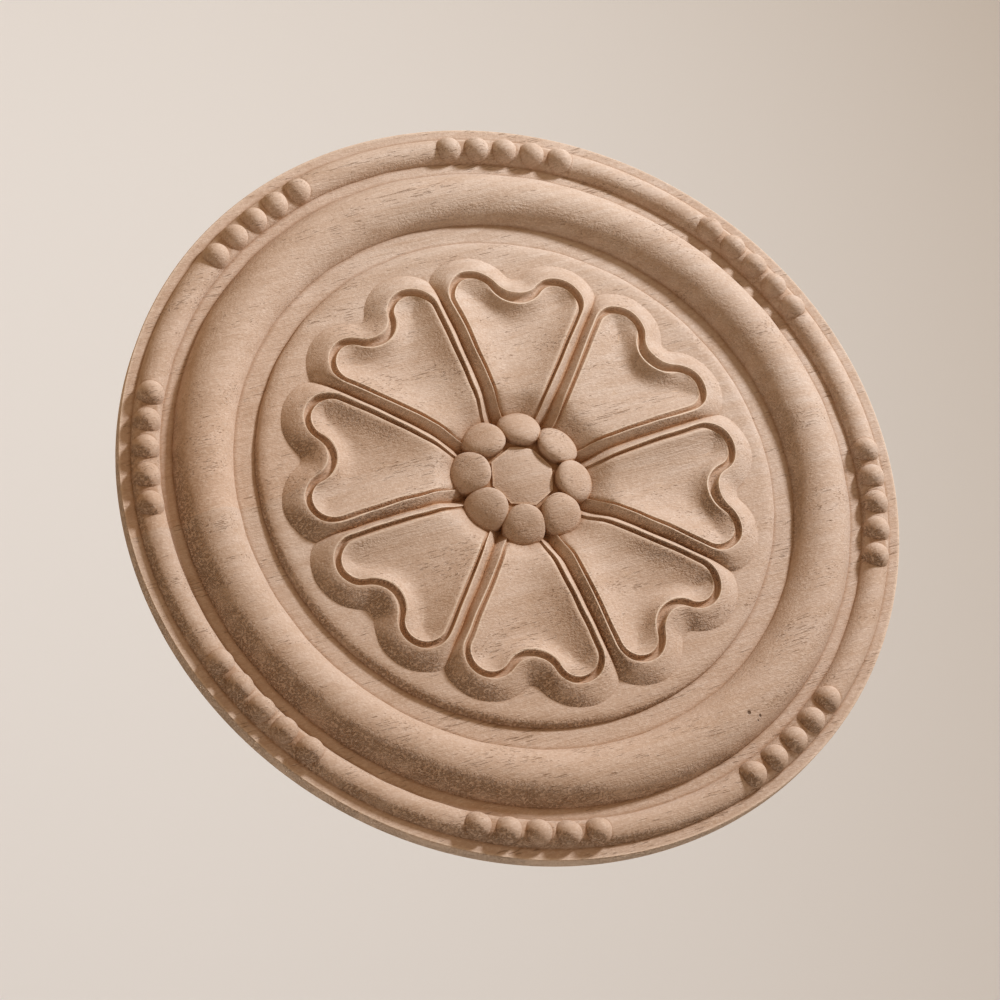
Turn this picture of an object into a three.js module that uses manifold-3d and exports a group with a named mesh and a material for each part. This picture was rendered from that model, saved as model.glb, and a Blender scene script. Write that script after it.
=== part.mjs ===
// A round carved wooden rosette: one solid blank, turned on the outside and carved in the middle.
// Millimetres. It hangs as on a wall: +Z is up, the front faces -Y, and the origin is the centre
// of the flat back.
import * as THREE from 'three';
import { mergeVertices } from 'three/addons/utils/BufferGeometryUtils.js';
import Module from 'manifold-3d';

const wasm = await Module();
wasm.setup();

// Turned mouldings, from the rim to the middle. Heights are measured from the flat back.
const diameter = 250;
const groundHeight = 5.3;
const ledgeWidth = 3.6;
const beadWidth = 9.1;
const beadRise = 3.0;
const filletWidth = 3.7;
const rollWidth = 18.9;
const rollRise = 6.5;
const channelWidth = 6.6;
const plateauRise = 2.4;
const plateauEdgeWidth = 4.4;

// Pearls carved out of the bead, in groups.
const pearlGroups = 8;
const pearlsPerGroup = 5;
const pearlPitch = 9.3;
const pearlRise = 5.5;
const pearlLength = 9.8;
const pearlOverhang = -0.1;

// Petals. The outline of a petal is the bottom of the V groove that runs round it.
const petalCount = 8;
const petalTipRadius = 69.6;
const notchDepth = 9.2;
const lobeRadius = 7.3;
const outlineInset = 3.5;
const petalRoot = 14;
const rootBlunt = 1.5;
const petalRise = 5.6;
const notchRise = 0.6;

// The groove and the two edges beside it: the crest of the lip outside and the inner edge inside.
const grooveDepth = 1.9;
const sideCrestOffset = 1.05;
const crestOffset = 1.35;
const notchCrestOffset = 2.0;
const innerEdgeDrop = 0.6;
const innerEdgeOffset = 1.1;
const innerEdgeSideOffset = 0.85;
const grooveSideDepth = 1.5;
const grooveSideShift = 0.3;
const grooveRootShare = 0.5;
const grooveRootDepth = 0.5;

// The lip falls to the plateau round the lobes, and into a valley between two petals.
const lipWidth = 6.6;
const notchLipWidth = 7.7;
const lipTurn = 55 * Math.PI / 180;
const lipRoundness = 1.35;
const plateauBite = 0.1;
const valleyDepth = 2.9;
const valleyRootShare = 0.8;
const valleyOverlap = 0.16;
const valleyRoundness = 1.1;

// The dish: slopes along the sides, a shallow bowl along the middle, and less depth at the root.
const dishSideDepth = 1.3;
const dishSideSlope = 7;
const dishBowlDepth = 2.2;
const dishBowlSlope = 14;
const dishBowlRounding = 5;
const dishNotchSlope = 7;
const dishRootShare = 0.45;
const dishDeepens = 20;
const dishDeepest = 48;
const dishFocus = 44;
const dishRingWidth = 5.4;

// Along its length a petal swells in the middle and drops into the hollow round the balls.
const swellRise = 1.7;
const swellStart = 25;
const rootDrop = 4.8;
const rootDropStart = 18;
const rootDropEnd = 30;

// Balls round the low dome in the middle. Below its round top a ball has an upright skirt.
const ballRingRadius = 17;
const ballWidth = 14.0;
const ballLength = 13.2;
const ballShoulderRise = 2.2;
const ballTopRise = 2.8;
const ballFullness = 2.8;
const ballEdgeRoundness = 0.6;
const ballLean = 0.4;
const domeApothem = 9.6;
const domeRise = 4.6;
const domeEdgeRise = 3.2;
const hubRadius = 17;
const hubHeight = 7.8;

// The flower stands a little off the middle of the turned mouldings, as it was carved by hand.
const flowerShiftAcross = 0.45;
const flowerShiftUp = -0.5;

// How finely the curves are cut into flat faces.
const turnedSegments = 48;
const beadSteps = 4;
const rollSteps = 6;
const plateauEdgeSteps = 2;
const sideSegments = 4;
const lobeSegments = 5;
const notchSegments = 2;
const lipSteps = 2;
const dishSteps = 2;
const domeSteps = 2;
const ballSteps = 3;
const ballSegments = 12;
const pearlSteps = 2;
const pearlSegments = 8;
const weldDistance = 1e-4;

// The carved pieces stand on this low floor inside the blank, a little above its back.
const buriedHeight = 1.0;
const recessHeight = 2.0;

const outerRadius = diameter / 2;
const beadOuter = outerRadius - ledgeWidth;
const beadInner = beadOuter - beadWidth;
const rollOuter = beadInner - filletWidth;
const rollInner = rollOuter - rollWidth;
const plateauOuter = rollInner - channelWidth;
const plateauHeight = groundHeight + plateauRise;
const beadRadius = (beadOuter + beadInner) / 2;
const halfSector = Math.PI / petalCount;
const crestHeight = groundHeight + petalRise;
const notchRadius = petalTipRadius - notchDepth;
const innerEdgeHeightAtTip = crestHeight - innerEdgeDrop;

function mix(from, to, share) {
  return from + (to - from) * share;
}

function smoothStep(value) {
  const share = Math.min(1, Math.max(0, value));
  return share * share * (3 - 2 * share);
}

// Steepest at 0 and level at 1.
function easeOut(value) {
  const share = Math.min(1, Math.max(0, value));
  return 1 - (1 - share) ** 2;
}

// Turns a closed three.js geometry into a solid that can be joined and cut.
function solidOf(geometry) {
  const shape = geometry.clone();
  shape.deleteAttribute('normal');
  shape.deleteAttribute('uv');
  const merged = mergeVertices(shape, weldDistance);
  return new wasm.Manifold(new wasm.Mesh({
    numProp: 3,
    vertProperties: new Float32Array(merged.attributes.position.array),
    triVerts: new Uint32Array(merged.index.array),
  }));
}

function geometryOf(solid) {
  const mesh = solid.getMesh();
  const geometry = new THREE.BufferGeometry();
  geometry.setAttribute('position', new THREE.BufferAttribute(mesh.vertProperties, 3));
  geometry.setIndex(new THREE.BufferAttribute(mesh.triVerts, 1));
  geometry.computeVertexNormals();
  return geometry;
}

// Points of a shallow arc over a flat strip, without its two ends, from the outer end inwards.
function moulding(outer, inner, rise, steps) {
  const half = (outer - inner) / 2;
  const radius = (half * half + rise * rise) / (2 * rise);
  const spread = Math.acos((radius - rise) / radius);
  const points = [];
  for (let step = 1; step < steps; step += 1) {
    const angle = mix(spread, -spread, step / steps);
    const across = (outer + inner) / 2 + radius * Math.sin(angle);
    points.push(new THREE.Vector2(across, groundHeight + rise - radius * (1 - Math.cos(angle))));
  }
  return points;
}

// The turned blank. The floor under the petals is low, because the petals fill it.
function turnedBlank() {
  const recessRadius = petalTipRadius - lobeRadius / 2;
  const profile = [
    new THREE.Vector2(0, 0),
    new THREE.Vector2(outerRadius, 0),
    new THREE.Vector2(outerRadius, groundHeight),
    new THREE.Vector2(beadOuter, groundHeight),
    ...moulding(beadOuter, beadInner, beadRise, beadSteps),
    new THREE.Vector2(beadInner, groundHeight),
    new THREE.Vector2(rollOuter, groundHeight),
    ...moulding(rollOuter, rollInner, rollRise, rollSteps),
    new THREE.Vector2(rollInner, groundHeight),
    new THREE.Vector2(plateauOuter, groundHeight),
  ];
  for (let step = 1; step <= plateauEdgeSteps; step += 1) {
    const angle = (step / plateauEdgeSteps) * (Math.PI / 2);
    const across = plateauOuter - plateauEdgeWidth * (1 - Math.cos(angle));
    profile.push(new THREE.Vector2(across, groundHeight + plateauRise * Math.sin(angle)));
  }
  profile.push(new THREE.Vector2(recessRadius, plateauHeight));
  profile.push(new THREE.Vector2(recessRadius, recessHeight));
  profile.push(new THREE.Vector2(hubRadius, recessHeight));
  profile.push(new THREE.Vector2(hubRadius, hubHeight));
  profile.push(new THREE.Vector2(0, hubHeight));
  const blank = new THREE.LatheGeometry(profile, turnedSegments);
  blank.rotateX(Math.PI / 2);
  return solidOf(blank);
}

// A knob with an oval plan: upright from its foot to its shoulder and round above. The rounding
// says how high the top stands over the shoulder at each share of its half width. It may lean, so
// that its top falls away from the middle of the rosette.
function knob({ length, width, foot, shoulder, rounding, lean, around, layers }) {
  const profile = [new THREE.Vector2(0, foot), new THREE.Vector2(1, foot)];
  for (let layer = 0; layer < layers; layer += 1) {
    const share = Math.cos((layer / layers) * (Math.PI / 2));
    profile.push(new THREE.Vector2(share, shoulder + rounding(share)));
  }
  profile.push(new THREE.Vector2(0, shoulder + rounding(0)));
  const shape = new THREE.LatheGeometry(profile, around);
  shape.rotateX(Math.PI / 2);
  shape.scale(length / 2, width / 2, 1);
  const points = shape.attributes.position;
  const middle = (foot + shoulder) / 2;
  for (let index = 0; index < points.count; index += 1) {
    if (points.getZ(index) > middle) {
      points.setZ(index, points.getZ(index) - lean * points.getX(index));
    }
  }
  return shape;
}

function pearl(angle) {
  const shape = knob({
    length: beadWidth + 2 * pearlOverhang,
    width: pearlLength,
    foot: groundHeight / 2,
    shoulder: groundHeight,
    rounding: (share) => pearlRise * Math.sqrt(1 - share * share),
    lean: 0,
    around: pearlSegments,
    layers: pearlSteps,
  });
  shape.translate(beadRadius, 0, 0);
  shape.rotateZ(angle);
  return solidOf(shape);
}

function pearls() {
  const step = pearlPitch / beadRadius;
  const solids = [];
  for (let group = 0; group < pearlGroups; group += 1) {
    const middle = (group / pearlGroups) * 2 * Math.PI;
    for (let place = 0; place < pearlsPerGroup; place += 1) {
      solids.push(pearl(middle + (place - (pearlsPerGroup - 1) / 2) * step));
    }
  }
  return solids;
}

// A petal lies along +X, and its two sides run parallel to the lines between the petals.
// The lobe's round end is tangent to the side and reaches petalTipRadius from the centre.
const lobeCentreRadius = petalTipRadius - lobeRadius;
const lobeBearing = halfSector - Math.asin((outlineInset + lobeRadius) / lobeCentreRadius);
const lobeCentre = new THREE.Vector2(
  lobeCentreRadius * Math.cos(lobeBearing),
  lobeCentreRadius * Math.sin(lobeBearing),
);
const sideNormal = halfSector + Math.PI / 2;
const notchLead = lobeCentre.x - notchRadius;
const notchArc = (notchLead ** 2 + lobeCentre.y ** 2 - lobeRadius ** 2) / (2 * (lobeRadius + notchLead));

// Half of a ring round the petal at some distance from the outline, outwards if positive: along
// the side from the root, round the lobe, and into the notch as far as the petal's axis. Each
// point also says how far the lip has opened from a side into the lobe, and how near the axis it is.
function halfRing({ side, lobe, notch, root }) {
  const lobeReach = lobeRadius + lobe;
  const notchEnd = notchRadius + notch;
  const lead = lobeCentre.x - notchEnd;
  const arc = (lead * lead + lobeCentre.y ** 2 - lobeReach * lobeReach) / (2 * (lobeReach + lead));
  const arcX = notchEnd + arc;
  const contact = Math.atan2(-lobeCentre.y, arcX - lobeCentre.x);
  const apexX = (outlineInset - root) / Math.sin(halfSector);
  const rootX = Math.max(petalRoot - root, apexX + rootBlunt);
  const rootY = rootX * Math.tan(halfSector) - (outlineInset - root) / Math.cos(halfSector);
  const sideEndX = lobeCentre.x + (lobeRadius + side) * Math.cos(sideNormal);
  const sideEndY = lobeCentre.y + (lobeRadius + side) * Math.sin(sideNormal);
  const points = [];
  for (let step = 0; step < sideSegments; step += 1) {
    const share = step / sideSegments;
    points.push({ x: mix(rootX, sideEndX, share), y: mix(rootY, sideEndY, share), open: 0, axial: 0 });
  }
  for (let step = 0; step <= lobeSegments; step += 1) {
    const bearing = mix(sideNormal, contact, step / lobeSegments);
    const open = smoothStep((sideNormal - bearing) / lipTurn);
    const reach = lobeRadius + mix(side, lobe, open);
    points.push({
      x: lobeCentre.x + reach * Math.cos(bearing),
      y: lobeCentre.y + reach * Math.sin(bearing),
      open,
      axial: 0,
    });
  }
  for (let step = 1; step <= notchSegments; step += 1) {
    const share = step / notchSegments;
    const bearing = mix(contact + Math.PI, Math.PI, share);
    points.push({ x: arcX + arc * Math.cos(bearing), y: arc * Math.sin(bearing), open: 1, axial: share });
  }
  return points;
}

function ring(offsets, heightAt) {
  const half = halfRing(offsets);
  const mirrored = half.slice(0, -1).reverse().map((point) => ({ ...point, y: -point.y }));
  return [...half, ...mirrored].map((point) => [point.x, point.y, heightAt(point)]);
}

// How much lower the petal stands at its root, from 1 at the balls to 0 where it has risen.
function rootShare(x) {
  return 1 - smoothStep((x - rootDropStart) / (rootDropEnd - rootDropStart));
}

// How much higher the petal stands here than at its tip.
function lift(x) {
  const swell = Math.min(1, Math.max(0, (x - swellStart) / (petalTipRadius - swellStart)));
  return swellRise * Math.sin(Math.PI * swell) - rootDrop * rootShare(x);
}

// A ring of the lip. The share runs from the crest, 0, out and down to the foot, 1.
function lipRing(share) {
  const valley = outlineInset + valleyOverlap;
  const heightAt = (point) => {
    const raised = lift(point.x);
    const depth = valleyDepth * mix(1, valleyRootShare, rootShare(point.x));
    const foot = mix(crestHeight - depth + raised, plateauHeight - plateauBite, point.open);
    const crest = crestHeight + notchRise * point.axial + raised;
    return mix(crest, foot, share ** mix(valleyRoundness, lipRoundness, point.open));
  };
  return ring({
    side: mix(sideCrestOffset, valley, share),
    lobe: crestOffset + lipWidth * share,
    notch: notchCrestOffset + notchLipWidth * share,
    root: mix(sideCrestOffset * grooveRootShare, valley, share),
  }, heightAt);
}

// How far a point of the dish lies inside the sides and lobes, from the notch, and from a rounded
// line along the middle.
function depthsInside(x, y) {
  const side = Math.abs(y);
  const toSide = x * Math.sin(halfSector) - side * Math.cos(halfSector) - outlineInset;
  const toTip = petalTipRadius - Math.hypot(x, side);
  const toLobe = lobeRadius - Math.hypot(x - lobeCentre.x, side - lobeCentre.y);
  const bearing = Math.atan2(side - lobeCentre.y, x - lobeCentre.x);
  const byLobe = bearing < sideNormal && bearing > lobeBearing;
  const rounded = Math.hypot(y, dishBowlRounding);
  const toMiddle = x * Math.sin(halfSector) - rounded * Math.cos(halfSector) - outlineInset;
  return {
    outside: byLobe ? toLobe : Math.min(toSide, toTip),
    notch: Math.hypot(x - notchRadius - notchArc, side) - notchArc,
    middle: Math.min(toMiddle, toTip),
  };
}

function innerEdgeHeight(x) {
  return innerEdgeHeightAtTip + lift(x);
}

function dishHeight(x, y) {
  const depths = depthsInside(x, y);
  const side = dishSideDepth * easeOut((depths.outside - innerEdgeOffset) / dishSideSlope);
  const inBowl = depths.middle + dishBowlRounding / 2 - innerEdgeOffset;
  const bowl = dishBowlDepth * smoothStep(inBowl / dishBowlSlope);
  const notch = easeOut((depths.notch - innerEdgeOffset) / dishNotchSlope);
  const deepening = smoothStep((x - dishDeepens) / (dishDeepest - dishDeepens));
  return innerEdgeHeight(x) - (side + bowl) * notch * mix(dishRootShare, 1, deepening);
}

// A petal is a closed solid of nested rings, which stands in the blank with its sides buried.
function petal(angle) {
  const rings = [];
  for (let step = lipSteps; step >= 0; step -= 1) {
    rings.push(lipRing(step / lipSteps));
  }
  const outline = { side: grooveSideShift, lobe: 0, notch: 0, root: grooveSideShift * grooveRootShare };
  rings.push(ring(outline, (point) => {
    const sideDepth = mix(grooveSideDepth, grooveRootDepth, rootShare(point.x));
    return crestHeight - mix(sideDepth, grooveDepth, point.open) + lift(point.x);
  }));
  const edge = -innerEdgeOffset;
  const edgeRing = { side: -innerEdgeSideOffset, lobe: edge, notch: edge, root: edge * grooveRootShare };
  rings.push(ring(edgeRing, (point) => innerEdgeHeight(point.x)));
  for (let step = 1; step <= dishSteps; step += 1) {
    const inside = edge - dishRingWidth * (step / dishSteps);
    const dishRing = { side: inside, lobe: inside, notch: inside, root: inside };
    rings.push(ring(dishRing, (point) => dishHeight(point.x, point.y)));
  }
  const count = rings[0].length;
  const bottom = rings[0].map(([x, y]) => [x, y, buriedHeight]);
  const vertices = [...rings.flat(), ...bottom];
  const top = vertices.length;
  vertices.push([dishFocus, 0, dishHeight(dishFocus, 0)]);
  vertices.push([dishFocus, 0, buriedHeight]);
  const faces = [];
  for (let place = 0; place < count; place += 1) {
    const next = (place + 1) % count;
    for (let layer = 0; layer + 1 < rings.length; layer += 1) {
      const outer = layer * count;
      const inner = outer + count;
      faces.push(outer + place, inner + place, outer + next);
      faces.push(outer + next, inner + place, inner + next);
    }
    const last = (rings.length - 1) * count;
    const under = rings.length * count;
    faces.push(last + place, top, last + next);
    faces.push(place, next, under + place);
    faces.push(next, under + next, under + place);
    faces.push(under + place, under + next, top + 1);
  }
  const shape = new THREE.BufferGeometry();
  shape.setAttribute('position', new THREE.Float32BufferAttribute(vertices.flat(), 3));
  shape.setIndex(faces);
  shape.rotateZ(angle);
  return solidOf(shape);
}

function petals() {
  const solids = [];
  for (let place = 0; place < petalCount; place += 1) {
    solids.push(petal(2 * halfSector * place));
  }
  return solids;
}

// The low dome in the middle is eight-sided, because the ring of balls cuts into it.
function dome() {
  const profile = [new THREE.Vector2(0, buriedHeight), new THREE.Vector2(1, buriedHeight)];
  for (let step = 0; step <= domeSteps; step += 1) {
    profile.push(new THREE.Vector2(1 - step / domeSteps, groundHeight));
  }
  const shape = new THREE.LatheGeometry(profile, petalCount, halfSector);
  shape.rotateX(Math.PI / 2);
  const reach = domeApothem / Math.cos(halfSector);
  shape.scale(reach, reach, 1);
  const points = shape.attributes.position;
  const middle = (buriedHeight + groundHeight) / 2;
  for (let index = 0; index < points.count; index += 1) {
    if (points.getZ(index) > middle) {
      const outwards = Math.hypot(points.getX(index), points.getY(index)) / domeApothem;
      points.setZ(index, groundHeight + mix(domeRise, domeEdgeRise, outwards ** 2));
    }
  }
  return solidOf(shape);
}

function ball(angle) {
  const shape = knob({
    length: ballLength,
    width: ballWidth,
    foot: buriedHeight,
    shoulder: groundHeight + ballShoulderRise,
    rounding: (share) => ballTopRise * (1 - share ** ballFullness) ** ballEdgeRoundness,
    lean: ballLean,
    around: ballSegments,
    layers: ballSteps,
  });
  shape.translate(ballRingRadius, 0, 0);
  shape.rotateZ(angle);
  return solidOf(shape);
}

function balls() {
  const solids = [];
  for (let place = 0; place < petalCount; place += 1) {
    solids.push(ball(2 * halfSector * place));
  }
  return solids;
}

function rosette() {
  let solid = turnedBlank();
  for (const piece of pearls()) {
    solid = solid.add(piece);
  }
  for (const piece of [...petals(), dome(), ...balls()]) {
    solid = solid.add(piece.translate([flowerShiftAcross, flowerShiftUp, 0]));
  }
  const wood = new THREE.MeshStandardMaterial({ color: 0xc9a182, roughness: 0.75, metalness: 0 });
  const mesh = new THREE.Mesh(geometryOf(solid), wood);
  mesh.name = 'rosette';
  mesh.rotation.x = Math.PI / 2;
  return mesh;
}

const model = new THREE.Group();
model.add(rosette());

export default model;
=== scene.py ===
# %% [markdown]
# # A carved wooden rosette
#
# This lesson builds a round carved rosette, the kind that is glued to a door, a wall or a ceiling.
# It could be sculpted by hand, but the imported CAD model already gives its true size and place. So
# the same carving is cut again from the same sizes with many more facets, and then it gets the look
# of raw, sanded wood.
#
# First come the modules and the frame.

# %% Load the frame
import math

import bmesh
import bpy
import numpy as np
from mathutils import Matrix, Vector, noise
from mathutils.bvhtree import BVHTree


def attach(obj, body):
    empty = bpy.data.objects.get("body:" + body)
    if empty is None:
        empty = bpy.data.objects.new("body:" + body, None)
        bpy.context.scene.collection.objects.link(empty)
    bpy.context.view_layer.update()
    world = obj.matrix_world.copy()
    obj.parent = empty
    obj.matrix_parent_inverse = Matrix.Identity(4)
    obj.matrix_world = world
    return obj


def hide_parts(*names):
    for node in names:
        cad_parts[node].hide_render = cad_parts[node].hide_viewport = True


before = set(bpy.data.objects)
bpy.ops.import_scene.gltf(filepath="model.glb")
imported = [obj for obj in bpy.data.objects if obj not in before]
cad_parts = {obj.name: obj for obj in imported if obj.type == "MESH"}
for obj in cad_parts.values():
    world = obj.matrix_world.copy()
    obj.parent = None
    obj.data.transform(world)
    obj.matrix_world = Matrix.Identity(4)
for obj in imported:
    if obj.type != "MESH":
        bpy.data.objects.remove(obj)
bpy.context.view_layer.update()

# %% [markdown]
# ## The camera
#
# The photograph looks at the rosette from below and from its left, so its circle turns into an
# oval. A long lens keeps the far rim almost as large as the near one. A camera can be turned by
# three angles, but directions are easier to read: the way it looks and what is up in its picture are
# given, and its right follows from the two.

# %% Place the camera
camera_place = Vector((-0.27891, -0.96111, -0.47918))
look = Vector((0.24776, 0.86891, 0.42850)).normalized()
picture_up = Vector((-0.07091, -0.42484, 0.90249))
picture_right = look.cross(picture_up).normalized()
picture_up = picture_right.cross(look)
camera_data = bpy.data.cameras.new("camera")
camera_data.sensor_width = 36
camera_data.lens = 128.485
camera_data.clip_start = 0.05
camera = bpy.data.objects.new("camera", camera_data)
bpy.context.scene.collection.objects.link(camera)
axes = Matrix((picture_right, picture_up, -look)).transposed()
camera.matrix_world = Matrix.Translation(camera_place) @ axes.to_4x4()
bpy.context.scene.camera = camera
print("camera at", tuple(round(value, 3) for value in camera_place), "lens", camera_data.lens, "mm")

# %% [markdown]
# ## Floor and backdrop
#
# The studio is a pale floor well below the piece and a pale backdrop far behind it. Two planes would
# show a corner where they meet, so one sheet bends up from the floor in a quarter of a circle. Its
# line is drawn as seen from the side, and a copy of it on either side is joined by faces.

# %% Roll out the studio
def link(name, data):
    made = bpy.data.objects.new(name, data)
    bpy.context.scene.collection.objects.link(made)
    return made


def mesh_object(name, points, faces):
    mesh = bpy.data.meshes.new(name)
    mesh.from_pydata([tuple(point) for point in points], [], [tuple(face) for face in faces])
    mesh.validate()
    mesh.update()
    return link(name, mesh)


floor_height = -1.0
floor_front = -4.0
backdrop_distance = 2.3
backdrop_height = 3.2
bend_radius = 0.8
bend_steps = 12
stage_half_width = 5.0
stage_line = [(floor_front, floor_height)]
for turn in np.linspace(0, math.pi / 2, bend_steps + 1):
    stage_line.append((
        backdrop_distance - bend_radius + bend_radius * math.sin(turn),
        floor_height + bend_radius - bend_radius * math.cos(turn),
    ))
stage_line.append((backdrop_distance, backdrop_height))
stage_points = [(side, y, z) for y, z in stage_line for side in (-stage_half_width, stage_half_width)]
stage_faces = [(2 * row, 2 * row + 1, 2 * row + 3, 2 * row + 2) for row in range(len(stage_line) - 1)]
studio = mesh_object("studio_floor", stage_points, stage_faces)
studio.data.shade_smooth()
print("floor at", floor_height, "m, backdrop", backdrop_distance, "m behind,", len(stage_faces), "faces")

# %% [markdown]
# ## Paper and sky
#
# The sheet is matt paper, a little cooler than the wood so that the wood looks warm on it. The sky
# is not in view: it only fills the shadows. In the photograph they are a warm brown, so the sky is
# warm and weak. A second lamp could fill them too, but it would throw shadows of its own.

# %% Paint the paper and the sky
paper_colour = (0.74, 0.76, 0.78, 1)
paper_roughness = 0.9
sky_colour = (1.0, 0.71, 0.46, 1)
sky_strength = 0.42
paper = bpy.data.materials.new("studio_paper")
paper.use_nodes = True
paper_shader = paper.node_tree.nodes["Principled BSDF"]
paper_shader.inputs["Base Color"].default_value = paper_colour
paper_shader.inputs["Roughness"].default_value = paper_roughness
studio.data.materials.append(paper)

world = bpy.data.worlds.new("studio_sky")
world.use_nodes = True
world.node_tree.nodes["Background"].inputs["Color"].default_value = sky_colour
world.node_tree.nodes["Background"].inputs["Strength"].default_value = sky_strength
bpy.context.scene.world = world
print("paper", paper_colour[:3], "and sky", sky_colour[:3], "at strength", sky_strength)

# %% [markdown]
# ## The lamps
#
# A carving is read by its shadows. One lamp, high and to the right, gives them, and it is a small
# disk because a wide lamp would wash out the grooves. A wide second lamp behind the piece lights
# only the paper. The view settings give the contrast of a photograph.

# %% Hang the lamps
def hang_lamp(name, shape, size, watts, place, backwards):
    """An area lamp shines along its own -Z, so its Z points backwards, away from what it lights."""
    data = bpy.data.lights.new(name, "AREA")
    data.shape = shape
    data.size = size
    data.energy = watts
    lamp = link(name, data)
    lamp.location = place
    lamp.rotation_euler = backwards.to_track_quat("Z", "Y").to_euler()
    return lamp


key_direction = Vector((0.594, -0.515, 0.618)).normalized()
key_distance = 1.25
key_size = 0.18
key_watts = 14.4
key = hang_lamp("key", "DISK", key_size, key_watts, key_direction * key_distance, key_direction)
key.data.color = (0.95, 1.0, 1.08)

paper_lamp_place = Vector((0.0, 1.0, 1.3))
paper_lamp_target = Vector((0.0, 2.3, 0.5))
paper_lamp_size = 2.4
paper_lamp_watts = 14
hang_lamp("paper_lamp", "SQUARE", paper_lamp_size, paper_lamp_watts, paper_lamp_place,
          paper_lamp_place - paper_lamp_target)
bpy.context.scene.view_settings.view_transform = "Standard"
bpy.context.scene.view_settings.look = "Medium High Contrast"
print("key lamp", key_watts, "W at", key_distance, "m, paper lamp", paper_lamp_watts, "W")

# %% [markdown]
# ## Sizes of the turned blank
#
# The outer mouldings of the real piece are turned or routed before any carving: from the rim inwards
# a flat ledge, a round bead, a flat strip, a broad half-round roll, a low channel and a raised
# plateau. Every size is written once, in millimetres, and is the size of the CAD model. Heights count
# from the flat back, and `ground` is the height of the flat strips between the mouldings.

# %% Name the sizes of the blank
MM = 0.001
diameter = 250.0
ground = 5.3
ledge_width = 3.6
bead_width = 9.1
bead_rise = 3.0
fillet_width = 3.7
roll_width = 18.9
roll_rise = 6.5
channel_width = 6.6
plateau_rise = 2.4
plateau_edge = 4.4

outer = diameter / 2
bead_outer = outer - ledge_width
bead_inner = bead_outer - bead_width
roll_outer = bead_inner - fillet_width
roll_inner = roll_outer - roll_width
plateau_outer = roll_inner - channel_width
plateau = ground + plateau_rise
print("bead from radius", round(bead_inner, 1), "to", round(bead_outer, 1), "mm, plateau radius",
      round(plateau_outer, 1), "mm")

# %% [markdown]
# ## Helpers for turned forms
#
# A turned form is a profile swept round an axis. Blender's Screw modifier does that, but here the
# points are needed later as plain numbers, so a short function goes round ring by ring and closes
# the form with a fan of triangles below and above. Two more helpers mix values and ease them.

# %% Write the turning helpers
def mix(start, end, share):
    return start + (end - start) * share


def smooth_step(value):
    share = np.clip(value, 0.0, 1.0)
    return share * share * (3 - 2 * share)


def turned(profile, around):
    """A closed turned solid. The profile runs from the middle of the back to the middle of the top."""
    angles = np.arange(around) * 2 * math.pi / around
    points = [(0.0, 0.0, profile[0][1])]
    for radius, height in profile[1:-1]:
        points += [(radius * math.cos(a), radius * math.sin(a), height) for a in angles]
    points.append((0.0, 0.0, profile[-1][1]))
    last = len(points) - 1
    rows = len(profile) - 2
    faces = []
    for place in range(around):
        following = (place + 1) % around
        faces.append((0, 1 + following, 1 + place))
        top = 1 + (rows - 1) * around
        faces.append((top + place, top + following, last))
        for row in range(rows - 1):
            low = 1 + row * around
            high = low + around
            faces.append((low + place, low + following, high + following, high + place))
    return points, faces


drum = [(0, 0), (1, 0), (1, 1), (0, 1)]
print("a drum with twelve sides has", len(turned(drum, 12)[1]), "faces")

# %% [markdown]
# ## The turned blank
#
# The profile starts at the middle of the back, goes round the rim and comes in over the mouldings.
# Where the flower will stand the blank is sunk, because the petals bring their own wood and their
# valleys go below the plateau. A hub is left in the middle. The carving is made lying flat, front
# up, which keeps its sums simple, and is stood up when it is whole.

# %% Turn the blank
def moulding(outside, inside, rise, steps):
    """The arc of a round moulding, from its outer foot over its top to its inner foot."""
    half = (outside - inside) / 2
    radius = (half * half + rise * rise) / (2 * rise)
    spread = math.acos((radius - rise) / radius)
    points = []
    for angle in np.linspace(spread, -spread, steps + 1):
        across = (outside + inside) / 2 + radius * math.sin(angle)
        points.append((across, ground + rise - radius * (1 - math.cos(angle))))
    return points


def evenly(start, end, height, steps):
    return [(mix(start, end, step / steps), height) for step in range(1, steps)]


petal_tip = 69.6
lobe_radius = 7.3
recess = 2.0
recess_radius = petal_tip - lobe_radius / 2
hub_radius = 17.0
hub_height = 7.8
back_ring = 60
back_chamfer = 0.3
rim_chamfer = 0.25
blank_facets = 288

profile = [(0, 0), (back_ring, 0), (outer - back_chamfer, 0), (outer, back_chamfer)]
profile += [(outer, ground - rim_chamfer), (outer - rim_chamfer, ground)]
profile += evenly(outer - rim_chamfer, bead_outer, ground, 4)
profile += moulding(bead_outer, bead_inner, bead_rise, 14)
profile += evenly(bead_inner, roll_outer, ground, 4)
profile += moulding(roll_outer, roll_inner, roll_rise, 26)
profile += evenly(roll_inner, plateau_outer, ground, 6)
for turn in np.linspace(0, math.pi / 2, 7):
    across = plateau_outer - plateau_edge * (1 - math.cos(turn))
    profile.append((across, ground + plateau_rise * math.sin(turn)))
profile += evenly(plateau_outer - plateau_edge, recess_radius, plateau, 12)
profile += [(recess_radius, plateau), (recess_radius, recess), (hub_radius, recess)]
profile += [(hub_radius, hub_height), (0, hub_height)]
blank_points, blank_faces = turned(profile, blank_facets)
blank = mesh_object("rosette_carving", np.array(blank_points) * MM, blank_faces)
print("blank:", len(profile), "profile points,", len(blank_faces), "faces")

# %% [markdown]
# ## Helpers for knobs
#
# Pearls and balls are both knobs with an oval plan: upright at the foot and round above. A scaled
# sphere would do for a pearl, but it narrows again towards its foot, where the carver's knife goes
# straight down. A turned profile can have any foot and top, so it is turned, stretched into an oval
# and put in its place. Every form that joins the blank later is kept in the list `operands`.

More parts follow.
